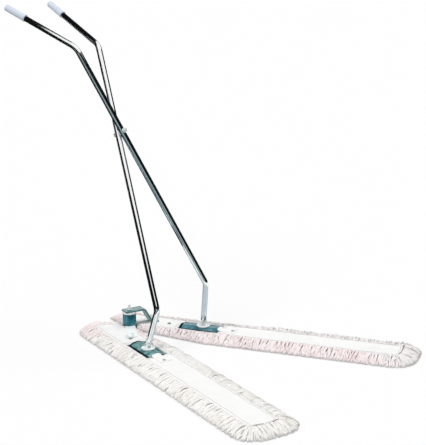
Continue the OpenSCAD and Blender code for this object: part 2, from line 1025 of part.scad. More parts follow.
yarn(-1);  // right_yarn
cover(-1);  // right_cover
frame(-1);  // right_frame
cross_plate(-1);  // right_cross_plate
saddle(-1);  // right_saddle
seat(-1);  // right_seat
king_bolt(-1);  // right_king_bolt
king_nut(-1);  // right_king_nut
studs(-1);  // right_studs
hinge_arm();
hinge_rivets(-1, arm_t);  // arm_rivets
hinge_post();
hinge_bearing();
hinge_bolt();
hinge_washer();
hinge_nut();
yarn(1);  // left_yarn
cover(1);  // left_cover
frame(1);  // left_frame
cross_plate(1);  // left_cross_plate
saddle(1);  // left_saddle
seat(1);  // left_seat
king_bolt(1);  // left_king_bolt
king_nut(1);  // left_king_nut
studs(1);  // left_studs
hinge_strap();
hinge_rivets(1, strap_t);  // strap_rivets
yoke(-1);  // right_yoke
pin(-1);  // right_pin
pin_nut(-1);  // right_pin_nut
yoke(1);  // left_yoke
pin(1);  // left_pin
pin_nut(1);  // left_pin_nut
tube(-1);  // right_tube
foot(-1);  // right_foot
foot_rivet(-1);  // right_foot_rivet
grip(-1);  // right_grip
pivot_cushion();
tube(1);  // left_tube
foot(1);  // left_foot
foot_rivet(1);  // left_foot_rivet
grip(1);  // left_grip
pivot_bolt();
pivot_nut();
pivot_washer();
pivot_spacer();
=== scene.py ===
import json
import math
from collections import namedtuple

import bpy
import numpy as np
from mathutils import Matrix, Vector


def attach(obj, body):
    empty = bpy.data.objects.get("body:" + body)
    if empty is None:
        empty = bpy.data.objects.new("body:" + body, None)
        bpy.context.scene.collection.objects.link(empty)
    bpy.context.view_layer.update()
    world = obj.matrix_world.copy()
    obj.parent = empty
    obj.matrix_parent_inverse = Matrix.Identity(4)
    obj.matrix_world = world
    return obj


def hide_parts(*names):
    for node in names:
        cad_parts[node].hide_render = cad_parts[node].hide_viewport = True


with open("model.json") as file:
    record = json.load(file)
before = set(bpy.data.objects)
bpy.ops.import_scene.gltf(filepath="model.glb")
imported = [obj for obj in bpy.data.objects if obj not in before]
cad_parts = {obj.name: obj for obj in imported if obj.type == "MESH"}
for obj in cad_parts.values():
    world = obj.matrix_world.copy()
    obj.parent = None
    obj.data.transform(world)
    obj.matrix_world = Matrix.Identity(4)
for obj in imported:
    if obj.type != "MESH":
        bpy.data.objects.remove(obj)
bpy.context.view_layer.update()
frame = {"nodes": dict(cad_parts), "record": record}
NODES = frame["nodes"]
rng = np.random.default_rng(7)

# Sizes shared with the solids, in metres. On a mop, u runs lengthways from the hinge to the open end,
# and v crosswise from the inside of the V outwards.
HALF = math.radians(19)
COS, SIN = math.cos(HALF), math.sin(HALF)
HINGE_X = -0.238603
U_TAIL, U_OPEN = -0.060, 0.946
V_IN, V_OUT = 0.010, 0.115
V_MID = (V_IN + V_OUT) / 2
CORNER_R, TAIL_R, TAIL_OUT_R = 0.014, 0.070, 0.034
PILE_H, COVER_TOP = 0.008, 0.0204
FRINGE = 0.057
SADDLE_A, SADDLE_B = 0.170, 0.314
OPEN_MARGIN = 0.004
OPEN_A, OPEN_B = SADDLE_A - OPEN_MARGIN, SADDLE_B + OPEN_MARGIN
RAIL_HALF = 0.0325
HEM_R = 0.0045
OPEN_HALF = RAIL_HALF + HEM_R + OPEN_MARGIN
POST_R = 0.0245
ARCH_R, CROWN_Z = 0.05001, 0.026
LIMIT_SLOPES = (math.tan(math.radians(10)), math.tan(math.radians(35)))
SIDES = {"right": -1, "left": 1}
YARN = {"right": "yarn_cream", "left": "yarn_rose"}
TINY = 1e-12


# Places

def place(side, uvz):
    """Points along a mop (lengthways, crosswise, up) in the row frame."""
    p = np.asarray(uvz, dtype=float)
    x = p[..., 0] * COS - p[..., 1] * SIN + HINGE_X
    y = SIDES[side] * (p[..., 0] * SIN + p[..., 1] * COS)
    return np.stack([x, y, p[..., 2]], axis=-1)


# the cover's rounded corners: centre, radius and the outward angle at which each begins
CORNERS = [
    (U_TAIL + TAIL_R, V_IN + TAIL_R, TAIL_R, math.pi),
    (U_OPEN - CORNER_R, V_IN + CORNER_R, CORNER_R, 1.5 * math.pi),
    (U_OPEN - CORNER_R, V_OUT - CORNER_R, CORNER_R, 0.0),
    (U_TAIL + TAIL_OUT_R, V_OUT - TAIL_OUT_R, TAIL_OUT_R, 0.5 * math.pi),
]
BOW, BOW_FROM = 0.004, 0.90


def bow(u, v):
    """The cover's open end bows out a little between its corners."""
    across = np.clip(1 - ((v - V_MID) / (V_MID - V_IN)) ** 2, 0, 1)
    return BOW * across * np.clip((u - BOW_FROM) / (U_OPEN - BOW_FROM), 0, 1)


def arc(cu, cv, r, a0):
    """A rounded corner: gives the point and the outward angle at a distance along it."""
    def at(d):
        a = a0 + d / r
        return cu + r * math.cos(a), cv + r * math.sin(a), a
    return at


def straight(start, end, a):
    """A straight stretch: gives the point and the outward angle at a distance along it."""
    length = math.dist(start, end)

    def at(d):
        return start[0] + (end[0] - start[0]) * d / length, start[1] + (end[1] - start[1]) * d / length, a
    return at


def edge_path():
    """The cover's edge as corners and straight stretches: length, radius, and distance to point and angle."""
    out = []
    for (cu, cv, r, a0), (nu, nv, nr, _) in zip(CORNERS, CORNERS[1:] + CORNERS[:1]):
        out.append((r * math.pi / 2, r, arc(cu, cv, r, a0)))
        a = a0 + math.pi / 2
        start = (cu + r * math.cos(a), cv + r * math.sin(a))
        end = (nu + nr * math.cos(a), nv + nr * math.sin(a))
        out.append((math.dist(start, end), 0.0, straight(start, end, a)))
    return out


EDGE = edge_path()
EDGE_LEN = sum(stretch[0] for stretch in EDGE)


def on_edge(d):
    """Point and outward angle at a distance round the cover's edge, which is hollowed round the hinge post."""
    d %= EDGE_LEN
    for length, _, at in EDGE:
        if d <= length:
            u, v, a = at(d)
            u += float(bow(u, v))
            near = math.hypot(u, v)
            if near < POST_R:
                u, v, a = u * POST_R / near, v * POST_R / near, math.atan2(-v, -u)
            return u, v, a
        d -= length
    return EDGE[0][2](0)


FAN = 0.55  # the share of the fringe's length at which a corner's strands have the full spacing
JITTER = (0.15, 0.85)


def stations(spacing):
    """Uneven distances round the edge, closer together where a corner fans the strands out."""
    out, start = [], 0.0
    for length, r, _ in EDGE:
        own = spacing * r / (r + FAN * FRINGE) if r else spacing
        count = max(1, round(length / own))
        out += [start + (i + rng.uniform(*JITTER)) * length / count for i in range(count)]
        start += length
    return out


def own_side(pts, margin):
    """Moves points crosswise, where needed, to stay on their own mop's side with the V closed and wide open."""
    for slope in LIMIT_SLOPES:
        pts[..., 1] = np.maximum(pts[..., 1], margin - slope * pts[..., 0])


REACH_GAP, REACH_MIN = 0.0015, 0.006


def own_reach(u, v, a):
    """How far a strand may go outwards from the edge and stay on its own mop's side, as own_side says."""
    du, dv = math.cos(a), math.sin(a)
    reach = FRINGE
    for slope in LIMIT_SLOPES:
        gap = v + slope * u - REACH_GAP
        rate = dv + slope * du
        if rate < -1e-6:
            reach = min(reach, gap / -rate)
    return max(reach, REACH_MIN)


# Meshes

def add_piece(side, part, verts, faces, material, uv):
    """A smooth mesh piece that rides on its mop; uv has one pair for each vertex."""
    name = f"{side}_{part}"
    mesh = bpy.data.meshes.new(name)
    mesh.from_pydata([tuple(v) for v in verts], [], [tuple(f) for f in faces])
    mesh.polygons.foreach_set("use_smooth", [True] * len(mesh.polygons))
    layer = mesh.uv_layers.new(name="UVMap")
    loops = np.empty(len(mesh.loops), dtype=np.int32)
    mesh.loops.foreach_get("vertex_index", loops)
    layer.data.foreach_set("uv", np.asarray(uv, dtype=np.float32)[loops].ravel())
    mesh.materials.append(material)
    mesh.update()
    obj = bpy.data.objects.new(name, mesh)
    bpy.context.collection.objects.link(obj)
    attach(obj, f"{side}_mop")
    return obj


def outwards(side, faces):
    """Faces with their outside out: the right mop is a mirror image, so its faces are turned round."""
    return [f[::-1] for f in faces] if side == "right" else faces


def grid_faces(n_u, n_v):
    """Quads of a grid of points, numbered row by row."""
    return [(i * n_v + j, (i + 1) * n_v + j, (i + 1) * n_v + j + 1, i * n_v + j + 1)
            for i in range(n_u - 1) for j in range(n_v - 1)]


def grid_ring(n_u, n_v):
    """The numbers of a grid's points all round its edge."""
    last_row = (n_u - 1) * n_v
    ring = [i * n_v for i in range(n_u)] + [last_row + j for j in range(1, n_v)]
    return ring + [i * n_v + n_v - 1 for i in range(n_u - 2, -1, -1)] + list(range(n_v - 2, 0, -1))


STEEP = 0.97


def cross_frames(paths):
    """Two directions square to each path at each of its points."""
    tangent = np.gradient(paths, axis=1)
    tangent /= np.linalg.norm(tangent, axis=2, keepdims=True) + TINY
    helper = np.zeros_like(tangent)
    helper[..., 2] = 1.0
    helper[np.abs(tangent[..., 2]) > STEEP] = (1.0, 0.0, 0.0)
    a = np.cross(tangent, helper)
    a /= np.linalg.norm(a, axis=2, keepdims=True) + TINY
    return a, np.cross(tangent, a)


def tubes(paths, radii, sides=5):
    """Closed tubes along many paths of equal point count: paths (n, k, 3), radii (n, k).

    The third result gives each vertex's distance along its tube and its share of the way round."""
    n, k, _ = paths.shape
    shape = (n, k, sides)
    a, b = cross_frames(paths)
    turn = np.linspace(0, 2 * math.pi, sides, endpoint=False)[:, None]
    ring = a[:, :, None] * np.cos(turn) + b[:, :, None] * np.sin(turn)
    verts = (paths[:, :, None] + ring * radii[:, :, None, None]).reshape(-1, 3)
    step = np.linalg.norm(np.diff(paths, axis=1), axis=2)
    along = np.concatenate([np.zeros((n, 1)), np.cumsum(step, axis=1)], axis=1)
    around = np.linspace(0, 1, sides, endpoint=False)
    uv = np.stack([np.broadcast_to(along[:, :, None], shape), np.broadcast_to(around, shape)], axis=-1)
    index = np.arange(n * k * sides).reshape(shape)
    beside = np.roll(index, -1, axis=2)
    quads = np.stack([index[:, :-1], beside[:, :-1], beside[:, 1:], index[:, 1:]], axis=-1).reshape(-1, 4)
    faces = quads.tolist() + index[:, 0, ::-1].tolist() + index[:, -1].tolist()
    return verts, faces, uv.reshape(-1, 2)


# Materials

def new_material(name):
    m = bpy.data.materials.new(name)
    m.use_nodes = True
    nt = m.node_tree
    return m, nt, nt.nodes["Principled BSDF"]


def set_inputs(n, values):
    """Sets a node's inputs, by name or number."""
    for key, value in values.items():
        n.inputs[key].default_value = value


def node(nt, kind, inputs, **settings):
    n = nt.nodes.new(kind)
    for key, value in settings.items():
        setattr(n, key, value)
    set_inputs(n, inputs)
    return n


def feed(nt, value, socket):
    """Links a node's output to an input, or sets a plain value there."""
    if isinstance(value, bpy.types.NodeSocket):
        nt.links.new(value, socket)
    else:
        socket.default_value = value


def ramp(nt, source, stops):
    """A colour ramp of (place, colour) stops."""
    r = nt.nodes.new("ShaderNodeValToRGB")
    marks = r.color_ramp.elements
    marks[0].position, marks[0].color = stops[0][0], (*stops[0][1], 1)
    marks[1].position, marks[1].color = stops[-1][0], (*stops[-1][1], 1)
    for at, colour in stops[1:-1]:
        marks.new(at).color = (*colour, 1)
    nt.links.new(source, r.inputs["Fac"])
    return r.outputs["Color"]


def noise(nt, coords, scale, detail=3.0, rough=0.55):
    n = node(nt, "ShaderNodeTexNoise", {"Scale": scale, "Detail": detail, "Roughness": rough})
    nt.links.new(coords, n.inputs["Vector"])
    return n.outputs["Fac"]


def wave(nt, coords, scale, direction, distortion=0.0):
    w = node(nt, "ShaderNodeTexWave", {"Scale": scale, "Distortion": distortion}, bands_direction=direction)
    nt.links.new(coords, w.inputs["Vector"])
    return w.outputs["Fac"]


def spread(nt, source, low, high):
    """A noise's usual range, stretched from low to high."""
    m = node(nt, "ShaderNodeMapRange", {"From Min": 0.25, "From Max": 0.75, "To Min": low, "To Max": high})
    nt.links.new(source, m.inputs["Value"])
    return m.outputs["Result"]


def past(nt, source, low, high):
    """0 up to low and 1 from high on."""
    m = node(nt, "ShaderNodeMapRange", {"From Min": low, "From Max": high}, interpolation_type="SMOOTHSTEP")
    nt.links.new(source, m.inputs["Value"])
    return m.outputs["Result"]


def bump(nt, bsdf, sources):
    """Chains (height, strength, distance) bumps into the shader's normal."""
    last = None
    for height, strength, distance in sources:
        b = node(nt, "ShaderNodeBump", {"Strength": strength, "Distance": distance})
        nt.links.new(height, b.inputs["Height"])
        if last:
            nt.links.new(last, b.inputs["Normal"])
        last = b.outputs["Normal"]
    nt.links.new(last, bsdf.inputs["Normal"])


def object_coords(nt):
    return nt.nodes.new("ShaderNodeTexCoord").outputs["Object"]


def uv_coords(nt):
    return nt.nodes.new("ShaderNodeTexCoord").outputs["UV"]


def math_node(nt, op, a, b):
    m = node(nt, "ShaderNodeMath", {}, operation=op)
    feed(nt, a, m.inputs[0])
    feed(nt, b, m.inputs[1])
    return m.outputs["Value"]


def weighed(nt, a, share_a, b, share_b):
    return math_node(nt, "ADD", math_node(nt, "MULTIPLY", a, share_a), math_node(nt, "MULTIPLY", b, share_b))


def along_axis(nt, coords, axis):
    """How far along an axis a point lies."""
    dot = node(nt, "ShaderNodeVectorMath", {1: axis}, operation="DOT_PRODUCT")
    nt.links.new(coords, dot.inputs[0])
    return dot.outputs["Value"]


def mixed(nt, share, first, second):
    """The first colour where share is 0, the second where it is 1."""
    m = node(nt, "ShaderNodeMix", {}, data_type="RGBA")
    for value, socket in ((share, 0), (first, 6), (second, 7)):
        feed(nt, value, m.inputs[socket])
    return m.outputs[2]


YARN_STOPS = (0.3, 0.5, 0.68)
PLY_SCALE = 0.31416  # the wave's scale that gives one band for each unit of the strands' twist


def yarn_material(name, tones, side, fade_from, fade_to, end_tones, lean):
    """Cotton yarn, mottled between three tones, which fades to other tones between two places along its mop.

    lean is how far lengthways the fade moves per length crosswise."""
    m, nt, bsdf = new_material(name)
    o = object_coords(nt)
    mottle = weighed(nt, noise(nt, o, 130.0, 2.0), 0.6, noise(nt, o, 9.0, 2.0), 0.4)
    along = along_axis(nt, o, (COS - lean * SIN, SIDES[side] * (SIN + lean * COS), 0))
    zero = HINGE_X * (COS - lean * SIN)
    faded = past(nt, along, zero + fade_from, zero + fade_to)
    first, second = (ramp(nt, mottle, list(zip(YARN_STOPS, colours))) for colours in (tones, end_tones))
    nt.links.new(mixed(nt, faded, first, second), bsdf.inputs["Base Color"])
    set_inputs(bsdf, {"Roughness": 0.92, "Specular IOR Level": 0.2, "Sheen Weight": 0.25, "Sheen Roughness": 0.5})
    ply = wave(nt, uv_coords(nt), PLY_SCALE, "X")
    fuzz = noise(nt, o, 900.0)
    bump(nt, bsdf, [(ply, 0.7, 0.0008), (fuzz, 0.5, 0.0004)])
    return m


def canvas_material():
    """White cotton canvas with slubs, a little soil, a plain weave and puckers."""
    m, nt, bsdf = new_material("canvas_cloth")
    o, uv = object_coords(nt), uv_coords(nt)
    mottle = weighed(nt, noise(nt, o, 45.0, 4.0), 0.45, noise(nt, o, 5.0), 0.55)
    colours = [(0.3, (0.88, 0.88, 0.86)), (0.5, (0.92, 0.92, 0.91)), (0.7, (0.94, 0.94, 0.935))]
    nt.links.new(ramp(nt, mottle, colours), bsdf.inputs["Base Color"])
    set_inputs(bsdf, {"Roughness": 0.88, "Specular IOR Level": 0.25, "Sheen Weight": 0.12})
    warp, weft = (wave(nt, uv, 280.0, direction, 0.6) for direction in "XY")
    weave = math_node(nt, "MAXIMUM", warp, weft)
    pucker = noise(nt, o, 70.0)
    bump(nt, bsdf, [(pucker, 0.35, 0.0012), (weave, 0.6, 0.00025)])
    return m


def thread_material():
    m, nt, bsdf = new_material("seam_thread")
    n = noise(nt, object_coords(nt), 260.0, 2.0)
    colours = [(0.3, (0.20, 0.175, 0.165)), (0.7, (0.34, 0.31, 0.29))]
    nt.links.new(ramp(nt, n, colours), bsdf.inputs["Base Color"])
    set_inputs(bsdf, {"Roughness": 0.8})
    bump(nt, bsdf, [(n, 0.4, 0.0003)])
    return m


def metal_material(name, low, high, rough_low, rough_high, scratch=0.15, metallic=1.0):
    """Metal with a mottled tone, uneven polish and fine handling marks."""
    m, nt, bsdf = new_material(name)
    o = object_coords(nt)
    cloud = noise(nt, o, 60.0, 4.0, 0.6)
    nt.links.new(ramp(nt, cloud, [(0.3, low), (0.7, high)]), bsdf.inputs["Base Color"])
    set_inputs(bsdf, {"Metallic": metallic})
    fine = noise(nt, o, 420.0, 3.0, 0.7)
    nt.links.new(spread(nt, fine, rough_low, rough_high), bsdf.inputs["Roughness"])
    bump(nt, bsdf, [(fine, scratch, 0.0002)])
    return m


# The saddle plates' dark rim is painted shade: the shadow line along their hems and ends.
PLATE_MIDDLE = SADDLE_A + 0.0755
RIM_SHADE_LENGTHWAYS, RIM_SHADE_CROSSWISE = (0.0665, 0.0680), (0.0295, 0.0308)
RIM_SHADE_SHIFT = 0.004
RIM_SHADE_COLOUR = (0.004, 0.014, 0.019, 1)


def plate_rim_shade(nt, o, side):
    """1 at the ends and hems of a mop's saddle plate, where a dark rim of painted shade goes, 0 on the rest of it;
    widest at the hinge's end.
    """
    masks = []
    for axis, middle, fade in (
        ((COS, SIDES[side] * SIN, 0), PLATE_MIDDLE + HINGE_X * COS, RIM_SHADE_LENGTHWAYS),
        ((-SIN, SIDES[side] * COS, 0), V_MID - HINGE_X * SIN + SIDES[side] * RIM_SHADE_SHIFT, RIM_SHADE_CROSSWISE),
    ):
        off = math_node(nt, "SUBTRACT", along_axis(nt, o, axis), middle)
        masks.append(past(nt, math_node(nt, "ABSOLUTE", off, 0.0), *fade))
    return math_node(nt, "MAXIMUM", *masks)


ENAMEL = {
    # The post's tones, drawn out into upright streaks, paint a highlight streak and shaded bands on it.
    "post": [(0.40, (0.001, 0.034, 0.050)), (0.50, (0.006, 0.110, 0.150)), (0.60, (0.034, 0.240, 0.315))],
    "strap": [(0.3, (0.014, 0.120, 0.125)), (0.52, (0.040, 0.185, 0.185)), (0.72, (0.110, 0.290, 0.280))],
    "right": [(0.40, (0.045, 0.150, 0.160)), (0.50, (0.080, 0.220, 0.225)), (0.60, (0.190, 0.360, 0.365))],
    "left": [(0.40, (0.055, 0.165, 0.210)), (0.50, (0.085, 0.220, 0.270)), (0.60, (0.130, 0.290, 0.335))],
}


def enamel_material(name, piece, coat_ior=1.5):
    """Petrol enamel with upright streaks, which on the post are a painted highlight streak and painted shade; a
    side's saddle plate has a dark rim of painted shade without gloss.
    """
    m, nt, bsdf = new_material(name)
    o = object_coords(nt)
    # Noise drawn out upright into streaks; on the post these streaks are painted highlight and shade.
    tall = node(nt, "ShaderNodeMapping", {"Scale": (1.0, 1.0, 0.3)})
    nt.links.new(o, tall.inputs["Vector"])
    tone = noise(nt, tall.outputs["Vector"], 42.0)
    paint = ramp(nt, tone, ENAMEL[piece])
    set_inputs(bsdf, {"Coat Roughness": 0.14, "Coat IOR": coat_ior})
    if piece in SIDES:
        # Painted shade: the plate's ends and hems are darkened to a near-black rim.
        rim = plate_rim_shade(nt, o, piece)
        paint = mixed(nt, rim, paint, RIM_SHADE_COLOUR)
        nt.links.new(math_node(nt, "SUBTRACT", 1.0, rim), bsdf.inputs["Coat Weight"])
        set_inputs(bsdf, {"Specular IOR Level": 0.0})
    else:
        set_inputs(bsdf, {"Coat Weight": 1.0, "Specular IOR Level": 0.3})
    nt.links.new(paint, bsdf.inputs["Base Color"])
    nt.links.new(spread(nt, tone, 0.30, 0.44), bsdf.inputs["Roughness"])
    peel = noise(nt, o, 340.0, 2.0)
    bump(nt, bsdf, [(peel, 0.12, 0.0003)])
    return m


def plastic_material(name, low, high, rough, grain=0.12):
    """Moulded plastic with a cloudy tone and a fine grain."""
    m, nt, bsdf = new_material(name)
    o = object_coords(nt)
    cloud = noise(nt, o, 25.0)
    nt.links.new(ramp(nt, cloud, [(0.3, low), (0.7, high)]), bsdf.inputs["Base Color"])
    fine = noise(nt, o, 700.0, 2.0)
    nt.links.new(spread(nt, fine, rough - 0.06, rough + 0.08), bsdf.inputs["Roughness"])
    set_inputs(bsdf, {"Subsurface Weight": 0.05, "Subsurface Radius": (0.004, 0.004, 0.004)})
    bump(nt, bsdf, [(fine, grain, 0.0002)])
    return m


CREAM = ((0.89, 0.85, 0.79), (0.95, 0.935, 0.905), (0.97, 0.965, 0.95))
# The pink tint is partly the yarn's own pale pink and partly painted shade on the fringe.
ROSE_SHADE = ((0.89, 0.73, 0.73), (0.962, 0.878, 0.876), (0.978, 0.95, 0.945))
GREY = ((0.62, 0.57, 0.575), (0.91, 0.88, 0.875), (0.965, 0.955, 0.95))
MAT = {
    # The right mop's cream yarn fades to the pink tint at its tail by the hinge. The left mop's yarn is pink up to
    # its open end. In both places the pink is partly the yarn's own colour and partly painted shade.
    "yarn_cream": yarn_material("yarn_cream", CREAM, "right", 0.28, 0.15, ROSE_SHADE, lean=1.2),
    "yarn_rose": yarn_material("yarn_rose", ROSE_SHADE, "left", 0.78, 0.88, GREY, lean=5.0),
    "canvas": canvas_material(),
    "thread": thread_material(),
    "petrol_paint": enamel_material("petrol_enamel", "post"),
    "chrome_tube": metal_material("chrome_plate", (0.88, 0.90, 0.91), (0.94, 0.95, 0.96), 0.03, 0.08, 0.02),
    "frame_wire": metal_material("wire_zinc", (0.60, 0.61, 0.62), (0.72, 0.73, 0.74), 0.3, 0.45),
    "zinc_casting": metal_material(
        "zinc_bright", (0.88, 0.94, 0.93), (0.94, 0.975, 0.97), 0.36, 0.52, metallic=0.05),
    "zinc_fastener": metal_material(
        "zinc_dull", (0.74, 0.77, 0.77), (0.86, 0.88, 0.88), 0.28, 0.42, metallic=0.6),
    "stud_metal": metal_material("stud_nickel", (0.45, 0.50, 0.48), (0.60, 0.65, 0.62), 0.2, 0.34),
    "grip_plastic": plastic_material("grip_plastic", (0.70, 0.775, 0.89), (0.75, 0.82, 0.92), 0.34, 0.04),
    "nylon": plastic_material("nylon_disc", (0.88, 0.89, 0.88), (0.93, 0.93, 0.92), 0.34),
    "cushion_rubber": plastic_material("cushion_rubber", (0.62, 0.68, 0.66), (0.74, 0.79, 0.77), 0.7),
}


def paint_nodes():
    """Gives each CAD node its slot's material, and some of them one of their own."""
    node_slot = {s["node"]: s["material_slot"] for s in frame["record"]["subparts"]}
    for name, obj in NODES.items():
        obj.data.materials.clear()
        obj.data.materials.append(MAT[node_slot[name]])
    pale_zinc = metal_material("zinc_pale", (0.82, 0.86, 0.85), (0.91, 0.94, 0.93), 0.30, 0.44, metallic=0.25)
    for name in ("pivot_bolt", "pivot_nut", "pivot_washer", "hinge_bolt", "hinge_nut"):
        NODES[name].data.materials[0] = pale_zinc
    NODES["hinge_strap"].data.materials[0] = enamel_material("strap_enamel", "strap", coat_ior=1.7)
    for side in SIDES:
        NODES[f"{side}_saddle"].data.materials[0] = enamel_material(f"{side}_plate_enamel", side)


# Yarn fringe: cut cotton strands that leave the cover's edge, arch up and hang to the floor

Layer = namedtuple("Layer", "spacing root crown tip share radius")
LAYERS = [
    Layer(0.0044, 0.0160, 0.0222, 0.0045, 0.97, 0.0025),
    Layer(0.0044, 0.0130, 0.0190, 0.0030, 1.00, 0.0025),
    Layer(0.0048, 0.0085, 0.0125, 0.0028, 1.02, 0.0026),
]
POINTS = 8
ROOT_INSIDE = 0.006
RISE_MORE = 0.003
FAR_SHORTER = 0.12
TWIST = 0.006
LENGTH_SPREAD, RADIUS_SPREAD = (0.90, 1.03), (0.85, 1.15)
# how much strands differ in sideways lean, bend and height
LEAN, CURL, LIFT = 0.10, 0.0032, 0.0016
TAPER_PLACES, TAPER = [0, 0.15, 0.8, 1.0], [0.8, 1.0, 1.05, 0.7]
# on its outer side the left fringe hangs low near the hinge and stands up towards the open end
HANG_PLACES, HANG_SHARES = (0.33, 0.50), (1.0, 0.2)
# strands keep to their own side, off the hinge, and near it under the turning arm
STRAND_MARGIN, HINGE_CLEAR = 0.0046, 0.0285
ARM_REACH, ARM_UNDER = 0.040, 0.0165


def strand(side, d, layer):
    """One strand's path along the mop and its radii: out from the seam, up over a low crown, down to the floor."""
    u, v, a = on_edge(d)
    du, dv = math.cos(a), math.sin(a)
    hang = np.interp(u, HANG_PLACES, HANG_SHARES) if side == "left" else 0.0
    far = max(0, dv) * hang
    length = FRINGE * layer.share * rng.uniform(*LENGTH_SPREAD) * (1 - FAR_SHORTER * far)
    reach = min(own_reach(u, v, a), length)
    lean, curl, lift = (rng.normal(0, amount) for amount in (LEAN, CURL, LIFT))
    t = np.linspace(0, 1, POINTS)
    out = -ROOT_INSIDE + (reach + ROOT_INSIDE) * t ** 0.92
    rise = np.sin(math.pi * np.sqrt(t)) * (layer.crown - layer.root + RISE_MORE) * (1 - far)
    z = layer.root + (layer.tip - layer.root) * t ** 2.0 + rise + lift * np.sin(math.pi * t)
    z = np.maximum(z, layer.radius * 0.9)
    sway = lean * np.maximum(out, 0) + curl * np.sin(1.3 * math.pi * t)
    path = np.stack([u + du * out - dv * sway, v + dv * out + du * sway, z], axis=-1)
    return path, layer.radius * rng.uniform(*RADIUS_SPREAD) * np.interp(t, TAPER_PLACES, TAPER)


def fringe(side):
    made = [strand(side, d, layer) for layer in LAYERS for d in stations(layer.spacing)]
    paths = np.array([path for path, _ in made])
    radii = np.array([radius for _, radius in made])
    own_side(paths, STRAND_MARGIN)
    near = np.hypot(paths[..., 0], paths[..., 1])
    z = paths[..., 2]
    paths[..., 2] = np.where(near < ARM_REACH, np.minimum(z, ARM_UNDER), z)
    keep = (near > HINGE_CLEAR).all(axis=1)
    verts, faces, uv = tubes(place(side, paths[keep]), radii[keep])
    twisted = np.stack([uv[:, 0] / TWIST + uv[:, 1], uv[:, 1]], axis=-1)
    return add_piece(side, "fringe", verts, faces, MAT[YARN[side]], twisted)


SOLE_ROWS, SOLE_HINGE_ROWS, SOLE_COLUMNS = 135, 15, 22
SOLE_END, SOLE_INSET, SOLE_HINGE_REACH = 0.004, 0.003, 0.027
HUMP_U, HUMP_V, HUMP_H = 0.020, 0.016, 0.0030
SOLE_LOW, SOLE_RIM, SOLE_TOP = 0.0004, 0.004, PILE_H - 0.0002
SOLE_TWIST = 0.02


def sole(side):
    """Tufted underside: a thin pad with rows of yarn humps."""
    us = np.sort(np.concatenate([
        np.linspace(U_TAIL + SOLE_END, U_OPEN - SOLE_END, SOLE_ROWS),
        np.linspace(-SOLE_HINGE_REACH, SOLE_HINGE_REACH, SOLE_HINGE_ROWS)]))
    n_u, n_v = len(us), SOLE_COLUMNS
    lo, hi = v_range(us, SOLE_INSET)
    f = np.linspace(0, 1, n_v)
    u = np.repeat(us[:, None], n_v, axis=1)
    v = lo[:, None] + (hi - lo)[:, None] * f[None, :]
    hump = 0.5 + 0.5 * np.sin(u * 2 * math.pi / HUMP_U) * np.sin(v * 2 * math.pi / HUMP_V)
    bottom = SOLE_LOW + HUMP_H * (1 - hump)
    bottom[:, [0, -1]] = SOLE_RIM
    top = np.full_like(bottom, SOLE_TOP)
    pts = np.concatenate([np.stack([u, v, z], axis=-1).reshape(-1, 3) for z in (bottom, top)])
    up = n_u * n_v
    faces = []
    for a, b, c, d in grid_faces(n_u, n_v):
        faces += [(a, d, c, b), (up + a, up + b, up + c, up + d)]
    ring = grid_ring(n_u, n_v)
    faces += [(a, b, up + b, up + a) for a, b in zip(ring, ring[1:] + ring[:1])]
    uv = np.stack([pts[:, 0] / TWIST + pts[:, 1] / SOLE_TWIST, pts[:, 1]], axis=-1)
    faces = outwards(side, faces)
    return add_piece(side, "sole_pad", place(side, pts), faces, MAT[YARN[side]], uv)


# Canvas cover: a top sheet with a cut-out, drawn over the wire frame and down to the yarn

CLOTH_T = 0.0009
CLOTH_Z = COVER_TOP + 0.0006
SAG, OUTER_SAG, CREASE, FINE_CREASE = 0.0016, 0.0026, 0.0007, 0.0003
CANVAS_MARGIN = 0.0012
EDGE_STEPS, EDGE_ZONE = np.array([0.0, 0.0015, 0.004, 0.0075, 0.012]), 0.016
SAME = 1e-5
# how far the cut-out's lip goes in and down, and the cover's edge out and down, step by step
LIP = ((0.0014, 0.0007), (0.0034, 0.0042))
SKIRT = ((0.0010, 0.0010), (0.0015, 0.0030), (0.0014, 0.0060), (0.0004, 0.0092))


def v_range(us, inset):
    """Inner and outer edge of the cover, crosswise, at stations along it."""
    lo = np.full_like(us, V_IN + inset)
    hi = np.full_like(us, V_OUT - inset)
    for cu, cv, r, a0 in CORNERS:
        in_corner = us < cu if cu < U_OPEN / 2 else us > cu
        h = np.sqrt(np.maximum((r - inset) ** 2 - (us - cu) ** 2, 0))
        if a0 >= math.pi:
            lo = np.where(in_corner, np.maximum(lo, cv - h), lo)
        else:
            hi = np.where(in_corner, np.minimum(hi, cv + h), hi)
    hollow = np.sqrt(np.maximum((POST_R + inset) ** 2 - us ** 2, 0))
    return np.maximum(lo, hollow), hi


def cloth_height(u, v):
    """Canvas level: it sags between the two wires and past them, with soft cross creases."""
    across = np.abs(v - V_MID)
    sag = -SAG * np.cos(np.clip(across / RAIL_HALF, 0, 1) * math.pi / 2)
    outer = -OUTER_SAG * np.clip((across - RAIL_HALF) / (V_OUT - V_MID - RAIL_HALF), 0, 1) ** 2
    crease = CREASE * np.sin(u * 47 + 1.5 * np.sin(u * 9) + v * 30) * np.sin(u * 13 + v * 60)
    fine = FINE_CREASE * np.sin(u * 160 + 3 * np.sin(v * 90))
    return CLOTH_Z + sag + outer + crease + fine


def thicken(obj):
    solid = obj.modifiers.new("thickness", "SOLIDIFY")
    solid.thickness = CLOTH_T
    solid.offset = -1.0


